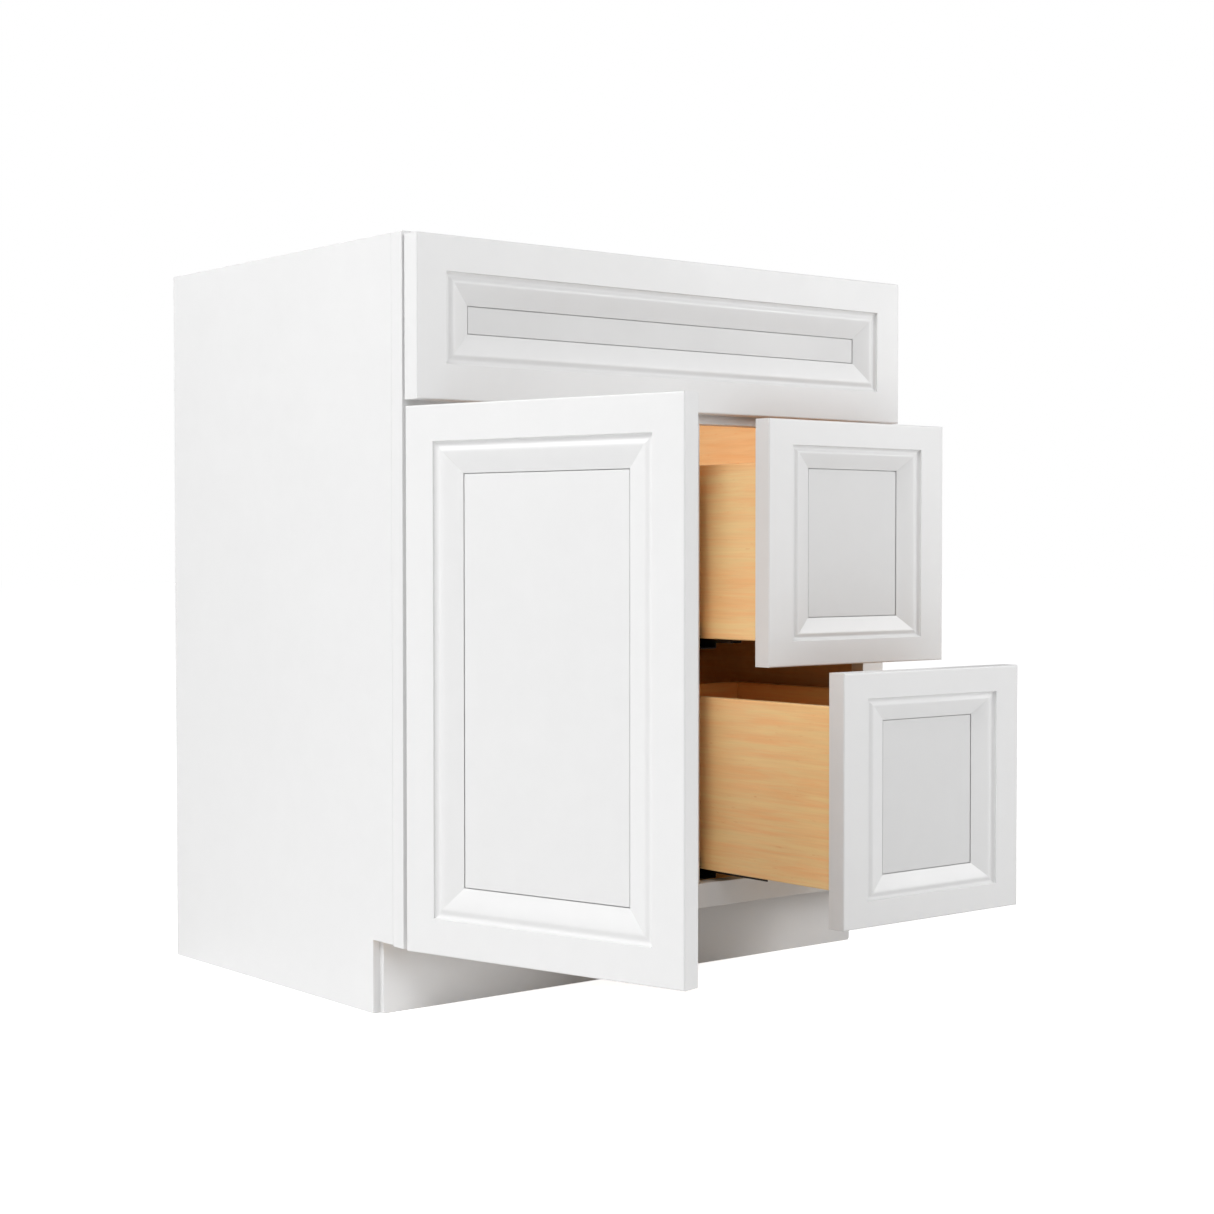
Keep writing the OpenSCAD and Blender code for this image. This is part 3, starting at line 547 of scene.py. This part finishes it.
def mouldedFront(prefix, body, stiles, rails, panel, shadedPanelPaint):
    # stiles and rails hold one node for each member, or one node that holds the pair
    span = placeOf(*stiles, *rails)
    stileWidth = np.ptp(solidsOf(stiles[0])[0][:, 0])
    railWidth = np.ptp(solidsOf(rails[0])[0][:, 2])
    for side, node in zip(("near", "far"), (stiles * 2)[:2]):
        memberPiece(prefix + side.title() + "Stile", side, span, stileWidth, railWidth, body, node)
    for side, node in zip(("low", "high"), (rails * 2)[:2]):
        memberPiece(prefix + side.title() + "Rail", side, span, railWidth, stileWidth, body, node)
    opening = (span[0][0] + stileWidth, span[0][2] + railWidth,
               span[1][0] - stileWidth, span[1][2] - railWidth)
    # the field takes the darker panel paint, painted shade for its recess
    fieldPiece(prefix + "Panel", panel, opening, shadedPanelPaint, body)


panelRecess = placeOf("false_front_panel")[0][1] - placeOf("false_front_top_rail")[0][1]
mouldedFront("falseFront", "cabinet", ["false_front_left_stile", "false_front_right_stile"],
             ["false_front_bottom_rail", "false_front_top_rail"], "false_front_panel", panelPaintShaded)
mouldedFront("door", "door", ["door_hinge_stile", "door_free_stile"], ["door_bottom_rail", "door_top_rail"],
             "door_panel", doorPanelPaintShaded)
for level in ("upper", "lower"):
    mouldedFront(level + "Drawer", level + "_drawer", [level + "_front_stiles"], [level + "_front_rails"],
                 level + "_front_panel", panelPaintShaded)
print("fronts made")


carcass = {"frameArris": 0.0009, "boardArris": 0.0005}
frameNodes = ("frame_left_stile", "frame_right_stile", "frame_centre_stile",
              "frame_top_rail", "frame_mid_rail", "frame_bottom_rail")


def pieceName(node):
    words = node.split("_")
    return words[0] + "".join(word.title() for word in words[1:])


def sidePanel(node, outer):
    # the side with its toe notch: paint outside, maple inside, layers along the edges
    low, high = placeOf(node)
    points = nodePoints(node)
    notchY = points[points[:, 2] < low[2] + 1e-5][:, 1].min()
    notchZ = points[points[:, 1] < low[1] + 1e-5][:, 2].min()
    corners = [(notchY, low[2]), (high[1], low[2]), (high[1], high[2]),
               (low[1], high[2]), (low[1], notchZ), (notchY, notchZ)]
    skins = [paintWhite, plyEdge, mapleInside][::-outer]
    boardPiece(pieceName(node), low, high, 0, carcass["boardArris"], [*skins, paintWhite], "cabinet",
               "white_paint", [node], corners)


sidePanel("left_side_panel", -1)
sidePanel("right_side_panel", 1)
for node in frameNodes:
    boardPiece(pieceName(node), *placeOf(node), 1, carcass["frameArris"], [paintWhite] * 3, "cabinet",
               "white_paint", [node])
boardPiece("toeKickBoard", *placeOf("toe_kick_board"), 1, carcass["boardArris"], [paintWhite] * 3,
           "cabinet", "white_paint", ["toe_kick_board"])
boardPiece("bottomPanel", *placeOf("bottom_panel"), 2, carcass["boardArris"],
           [mapleWide, plyEdge, mapleWide], "cabinet", "maple_veneer", ["bottom_panel"])
boardPiece("partitionPanel", *placeOf("partition_panel"), 0, carcass["boardArris"],
           [mapleInside, plyEdge, mapleInside], "cabinet", "maple_veneer", ["partition_panel"])

drawerBox = {"sideArris": 0.0016, "endArris": 0.0014, "bottomArris": 0.0004}
boxBoards = (("left_side", 0, "sideArris", mapleSide), ("right_side", 0, "sideArris", mapleSide),
             ("front", 1, "endArris", mapleWide), ("back", 1, "endArris", mapleWide),
             ("bottom", 2, "bottomArris", mapleSide))
for level in ("upper", "lower"):
    for part, across, arris, face in boxBoards:
        node = f"{level}_box_{part}"
        boardPiece(pieceName(node), *placeOf(node), across, drawerBox[arris], [face, mapleEdge, face],
                   level + "_drawer", "maple_box", [node])
print("carcass and drawer boxes made")


steel = {"thickness": 0.0012, "bend": 0.0012, "webRib": 0.0009, "ribWidth": 0.004, "cornerRun": 0.004}


def bentPath(corners, radius, steps=4):
    # a path whose corners are quadratic curves, (1 - t)^2 p + 2 t (1 - t) corner + t^2 q, tangent to
    # both straight runs where an arc of the radius would touch them
    corners = np.asarray(corners, float)
    path = [corners[0]]
    for before, corner, after in zip(corners[:-2], corners[1:-1], corners[2:]):
        toBefore, toAfter = np.linalg.norm(before - corner), np.linalg.norm(after - corner)
        a, b = (before - corner) / toBefore, (after - corner) / toAfter
        half = math.acos(np.clip(a @ b, -1, 1)) / 2
        cut = min(radius / math.tan(half), 0.45 * toBefore, 0.45 * toAfter)
        t = np.linspace(0, 1, steps + 1)[:, None]
        path += list((corner + a * cut) * (1 - t) ** 2 + corner * 2 * t * (1 - t)
                     + (corner + b * cut) * t ** 2)
    return np.array([*path, corners[-1]])


def stripOutline(path, thickness):
    # a strip of even thickness along a path: each point moves both ways along the mean normal
    run = np.diff(path, axis=0)
    run /= np.linalg.norm(run, axis=1)[:, None]
    normal = np.column_stack([run[:, 1], -run[:, 0]])
    ends = np.concatenate([normal[:1], normal, normal[-1:]])
    mean = ends[:-1] + ends[1:]
    mean /= (mean * ends[1:]).sum(1)[:, None]
    return np.concatenate([path + mean * thickness / 2, (path - mean * thickness / 2)[::-1]])


def bar(outline, low, high, across):
    # an outline carried straight from low to high, closed with a flat face at each end
    outline = np.asarray(outline, float)
    x, y = outline.T
    if (x * np.roll(y, -1) - y * np.roll(x, -1)).sum() < 0:
        outline = outline[::-1]
    cols = len(outline)
    points = np.concatenate([np.column_stack([outline, np.full(cols, level)]) for level in (low, high)])
    faces = [*map(list, quadGrid(2, cols)), list(range(cols))[::-1], list(range(cols, 2 * cols))]
    if across == 1:
        faces = [face[::-1] for face in faces]
    return laid(points, across), faces


def ribbed(start, end, side):
    # a straight run with a rolled rib in its middle, one raised cosine high to the given side
    start, end = np.asarray(start, float), np.asarray(end, float)
    middle, along = (start + end) / 2, (end - start) / np.linalg.norm(end - start)
    t = np.linspace(-0.5, 0.5, 9)[:, None]
    lift = steel["webRib"] * (0.5 + 0.5 * np.cos(2 * math.pi * t))
    rib = middle + along * t * steel["ribWidth"] + np.array(side) * lift
    return [start, *rib, end]


def slidePieces(node, kind, body):
    # each steel member is its bent strip, seen from the front, carried along the depth
    parts = []
    half, run = steel["thickness"] / 2, steel["cornerRun"]
    boxMiddle = np.mean([side.mean(0)[0] for side in solidsOf(node)])
    for solid in solidsOf(node):
        low, high = spanOf(solid)
        near, far = low[0] + half, high[0] - half
        if low[0] >= boxMiddle:
            near, far = far, near
        inward = 1 if far > near else -1
        bottom, top = low[2] + half, high[2] - half
        if kind == "rail":
            outermost = np.abs(solid[:, 0] - (far + half * inward)) < 1e-5
            lip = np.round(solid[outermost][:, 2], 5).max()
            web = ribbed((near, top), (near, bottom + run), (inward, 0))
            corners = bentPath([(near, bottom + run), (near, bottom), (far, bottom), (far, lip)],
                               steel["bend"])
            path = np.concatenate([web, corners[1:]])
        else:
            crown = ribbed((near + inward * run, top), (far - inward * run, top), (0, -1))
            first = bentPath([(near, bottom), (near, top), (near + inward * run, top)], steel["bend"])
            second = bentPath([(far - inward * run, top), (far, top), (far, bottom)], steel["bend"])
            path = np.concatenate([first[:-1], crown, second[1:]])
        parts.append(bar(stripOutline(path, steel["thickness"]), low[1], high[1], 1))
    # the slides take the near-black steel, which doubles as painted shadow under the boxes
    meshPiece(pieceName(node), *joinParts(parts), slideSteelBlackForShadow, body, "black_slide", [node], smoothAngle=50)


for level in ("upper", "lower"):
    slidePieces(level + "_slide_rails", "rail", "cabinet")
    slidePieces(level + "_slide_middles", "channel", level + "_slide_member")
    slidePieces(level + "_drawer_runners", "channel", level + "_drawer")
print("slides made")


screwShape = {"sides": 20, "crossWidth": 0.17, "crossReach": 0.62, "crossDepth": 0.75, "dome": 0.35}


def screwSurface(tip, head, rim, shank, headHeight):
    # turned about its axis: the head domes as 1 - r squared, and sinks where the point lies inside
    # either arm of a cross; then the rim, the shank and a conical tip
    axis = (head - tip) / np.linalg.norm(head - tip)
    first = np.cross(axis, (0.3, 0.5, 0.8))
    first /= np.linalg.norm(first)
    second = np.cross(axis, first)
    angle = np.linspace(0, 2 * math.pi, screwShape["sides"], endpoint=False)[None]
    share = np.array([0.06, 0.18, 0.3, 0.42, 0.56, 0.64, 0.8, 0.94, 1.0])[:, None]
    x, y = share * np.cos(angle), share * np.sin(angle)
    arm = (np.minimum(np.abs(x), np.abs(y)) < screwShape["crossWidth"]) & (share < screwShape["crossReach"])
    dome = headHeight * (1 - screwShape["dome"] * share ** 2) * np.ones_like(angle)
    sink = headHeight * screwShape["crossDepth"] * (1 - share / screwShape["crossReach"] * 0.6)
    height = np.where(arm, dome - sink, dome)
    length = np.linalg.norm(head - tip) - headHeight
    radius = np.concatenate([share[:, 0] * rim, [rim, shank, shank, shank * 0.1]])
    level = np.concatenate([height, *[np.full_like(angle, h) for h in (0, 0, -length * 0.75, -length)]])
    centre = (head - axis * headHeight)[None, None]
    points = centre + axis * level[..., None] + radius[:, None, None] * (
        first * np.cos(angle)[..., None] + second * np.sin(angle)[..., None])
    rows, cols = level.shape
    faces = [*map(list, quadGrid(rows, cols)), list(range(cols))[::-1],
             list(range((rows - 1) * cols, rows * cols))]
    return points.reshape(-1, 3), [face[::-1] for face in faces]


def screwPieces(node, body):
    parts = []
    for solid in solidsOf(node):
        low, high = spanOf(solid)
        axis = int(np.argmax(high - low))
        middle, ends = (low + high) / 2, [low[axis], high[axis]]
        across = [k for k in range(3) if k != axis]
        rings = [solid[np.abs(solid[:, axis] - end) < 1e-5][:, across] for end in ends]
        width = [np.linalg.norm(ring - middle[across], axis=1).max() for ring in rings]
        headEnd = int(np.argmax(width))
        head, tip = middle.copy(), middle.copy()
        head[axis], tip[axis] = ends[headEnd], ends[1 - headEnd]
        levels = np.unique(np.round(np.abs(solid[:, axis] - ends[headEnd]), 5))
        parts.append(screwSurface(tip, head, max(width), min(width), levels[levels > 1e-5][0]))
    meshPiece(pieceName(node), *joinParts(parts), steelZinc, body, "zinc_screw", [node])


screwPieces("cabinet_screws", "cabinet")
screwPieces("door_screws", "door")
screwPieces("upper_drawer_screws", "upper_drawer")
screwPieces("lower_drawer_screws", "lower_drawer")
print("screws made")


def lathe(profile, centre, axis, sides=48):
    # a closed profile of (radius, height) turned about an axis through the centre
    u, v = [k for k in range(3) if k != axis]
    angle = np.linspace(0, 2 * math.pi, sides, endpoint=False)
    radius, height = np.asarray(profile, float).T
    points = np.empty((len(radius), sides, 3))
    points[..., u] = centre[u] + radius[:, None] * np.cos(angle)
    points[..., v] = centre[v] + radius[:, None] * np.sin(angle)
    points[..., axis] = centre[axis] + np.broadcast_to(height[:, None], (len(radius), sides))
    faces = quadGrid(len(radius) + 1, sides) % (len(radius) * sides)
    area = (radius * np.roll(height, -1) - height * np.roll(radius, -1)).sum()
    flip = (area > 0) == (axis == 1)
    return points.reshape(-1, 3), [list(face)[::-1] if not flip else list(face) for face in faces]


bumper = {"crown": 0.55}  # share of a bumper's thickness that its dome takes


def bumperPieces(node, body):
    # each bumper: a flat foot and a dome whose height falls as the cosine of the radius
    parts = []
    for solid in solidsOf(node):
        low, high = spanOf(solid)
        radius, thick = (high[0] - low[0]) / 2, high[1] - low[1]
        t = np.linspace(0, 1, 8)
        crown = thick * bumper["crown"]
        dome = np.column_stack([radius * np.maximum(t, 0.02),
                                thick * (1 - bumper["crown"]) + crown * np.cos(t * math.pi / 2)])
        profile = np.concatenate([dome, [(radius, 0), (radius * 0.02, 0)]])
        centre = np.array([(low[0] + high[0]) / 2, low[1], (low[2] + high[2]) / 2])
        parts.append(lathe(profile, centre, 1, 24))
    meshPiece(pieceName(node), *joinParts(parts), clearSilicone, body, "clear_bumper", [node])


bumperPieces("door_bumpers", "door")
bumperPieces("false_front_bumpers", "cabinet")


finishes = {
    "back_panel": rawBack, "hanging_rail": mapleWide, "corner_braces": mapleWide,
    "slide_packers": mapleSide, "false_front_cleats": mapleTall,
    "upper_hinge_arm": steelNickel, "lower_hinge_arm": steelNickel,
    "upper_hinge_cup": steelNickel, "lower_hinge_cup": steelNickel,
    "hinge_pins": steelNickel, "slide_rear_brackets": greyPlastic,
}
for node, material in finishes.items():
    piece = frame["nodes"][node]
    piece.data.materials.clear()
    piece.data.materials.append(material)
print("fittings made")


stage = {"floorSize": 60.0, "floorSeen": 0.95, "floorBounce": 0.95, "skySeen": 1.0, "skyLight": 0.2}
lights = {  # place, what it aims at, size and power
    "leftSoftbox": ((-4.0, 0.9, 3.6), (-0.3, -0.4, 0.45), (3.0, 3.0), 112.0),
    "rightSoftbox": ((3.2, -3.6, 2.0), (0.1, -0.6, 0.45), (2.6, 2.2), 113.0),
    "highLeft": ((-3.2, -1.7, 4.4), (0.0, -0.6, 0.4), (2.6, 2.6), 162.0),
}


def makeFloor():
    # one wide square; it looks paler to the eye than the light that it throws back
    half = stage["floorSize"] / 2
    mesh = bpy.data.meshes.new("studioFloor")
    corners = [(-half, -half, 0), (half, -half, 0), (half, half, 0), (-half, half, 0)]
    mesh.from_pydata(corners, [], [(0, 1, 2, 3)])
    floor = bpy.data.objects.new("studioFloor", mesh)
    bpy.context.scene.collection.objects.link(floor)
    material, tree, shader = newMaterial("paleFloor", Roughness=0.9, Specular_IOR_Level=0.1,
                                         Emission_Color=(1, 1, 1, 1))
    seen = addNode(tree, "ShaderNodeLightPath").outputs["Is Camera Ray"]
    tone = rangeNode(tree, seen, 0.0, 1.0, stage["floorBounce"], stage["floorSeen"])
    tree.links.new(greyOf(tree, tone), shader.inputs["Base Color"])
    lift = stage["skySeen"] - stage["floorSeen"] * stage["skyLight"]  # makes the far floor meet the sky
    tree.links.new(rangeNode(tree, seen, 0.0, 1.0, 0.0, lift), shader.inputs["Emission Strength"])
    mesh.materials.append(material)


def makeLight(name, place, aim, size, power):
    light = bpy.data.lights.new(name, "AREA")
    light.shape, light.size, light.size_y, light.energy = "RECTANGLE", size[0], size[1], power
    lamp = bpy.data.objects.new(name, light)
    bpy.context.scene.collection.objects.link(lamp)
    away = np.array(place) - np.array(aim)
    lamp.location = place
    tilt = math.atan2(math.hypot(away[0], away[1]), away[2])
    lamp.rotation_euler = (tilt, 0, math.atan2(away[0], -away[1]))
    lamp.visible_camera = False


def makeSky():
    # an even white sky, seen at full white and lighting at a lower strength
    sky = bpy.data.worlds.new("studioSky")
    sky.use_nodes = True
    tree = sky.node_tree
    seen = addNode(tree, "ShaderNodeLightPath").outputs["Is Camera Ray"]
    strength = rangeNode(tree, seen, 0.0, 1.0, stage["skyLight"], stage["skySeen"])
    tree.links.new(strength, tree.nodes["Background"].inputs[1])
    tree.nodes["Background"].inputs[0].default_value = (1, 1, 1, 1)
    bpy.context.scene.world = sky


view = {"place": (-1.7164, -2.5308, 0.5232), "tilt": 90 - 1.473, "roll": 0.03, "turn": -39.062,
        "sensor": 36.0, "lens": 64.43}


def makeCamera():
    # from the left front, at about the middle of the cabinet's height
    data = bpy.data.cameras.new("viewCamera")
    data.sensor_width, data.lens, data.dof.use_dof = view["sensor"], view["lens"], False
    camera = bpy.data.objects.new("viewCamera", data)
    bpy.context.scene.collection.objects.link(camera)
    camera.location = view["place"]
    camera.rotation_euler = [math.radians(view[key]) for key in ("tilt", "roll", "turn")]
    bpy.context.scene.camera = camera


makeFloor()
for name, (place, aim, size, power) in lights.items():
    makeLight(name, place, aim, size, power)
makeSky()
makeCamera()
bpy.context.scene.view_settings.view_transform = "Standard"
print("stage made")
